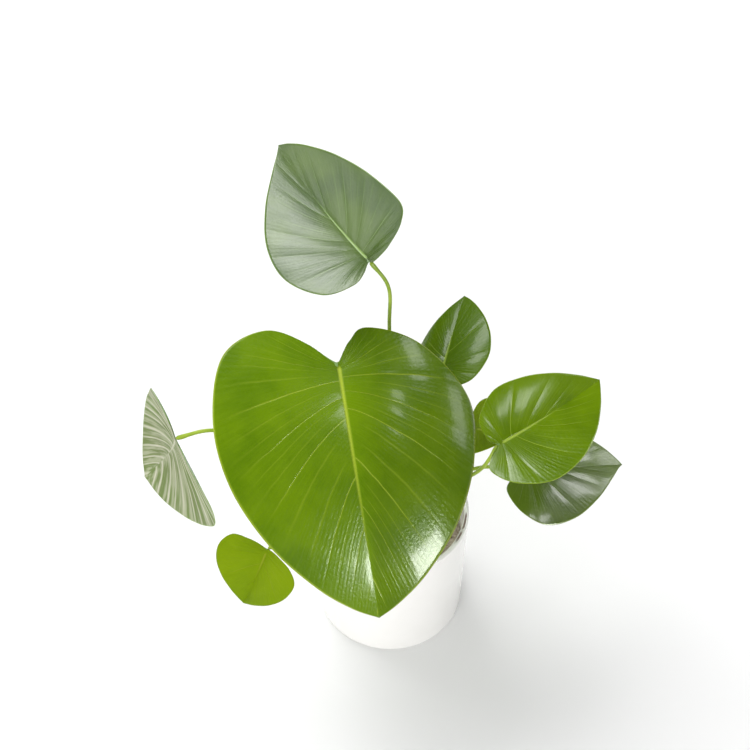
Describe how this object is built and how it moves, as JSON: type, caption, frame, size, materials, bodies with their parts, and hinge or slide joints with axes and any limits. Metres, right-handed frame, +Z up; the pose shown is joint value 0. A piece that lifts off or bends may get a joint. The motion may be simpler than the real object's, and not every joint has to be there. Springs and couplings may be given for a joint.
{
  "type": "potted monstera plant",
  "caption": "Young monstera with entire heart-shaped leaves on long stalks, growing from soil in a plain round pot.",
  "frame": {"origin": "centre of the pot's flat underside, at floor level", "axes": "+Z up along the pot's axis, -Y towards the side that the biggest leaf hangs over, +X to the right seen from there"},
  "size_m": [0.3131, 0.2786, 0.2982],
  "materials": {
    "pot": "gloss",
    "soil": "matte",
    "stem": "satin",
    "petiole": "satin",
    "bright_leaf": "gloss",
    "dark_leaf": "gloss"
  },
  "bodies": {
    "root": {"pot": "pot", "soil": "soil", "left_stem": "stem", "back_stem": "stem", "right_stem": "stem", "large_front_petiole": "petiole", "tall_back_petiole": "petiole", "left_petiole": "petiole", "low_left_petiole": "petiole", "small_back_petiole": "petiole", "right_petiole": "petiole", "low_right_petiole": "petiole", "inner_petiole": "petiole", "large_front_leaf": "bright_leaf", "low_left_leaf": "bright_leaf", "right_leaf": "bright_leaf", "tall_back_leaf": "dark_leaf", "left_leaf": "dark_leaf", "small_back_leaf": "dark_leaf", "low_right_leaf": "dark_leaf", "inner_leaf": "dark_leaf"}
  },
  "joints": []
}
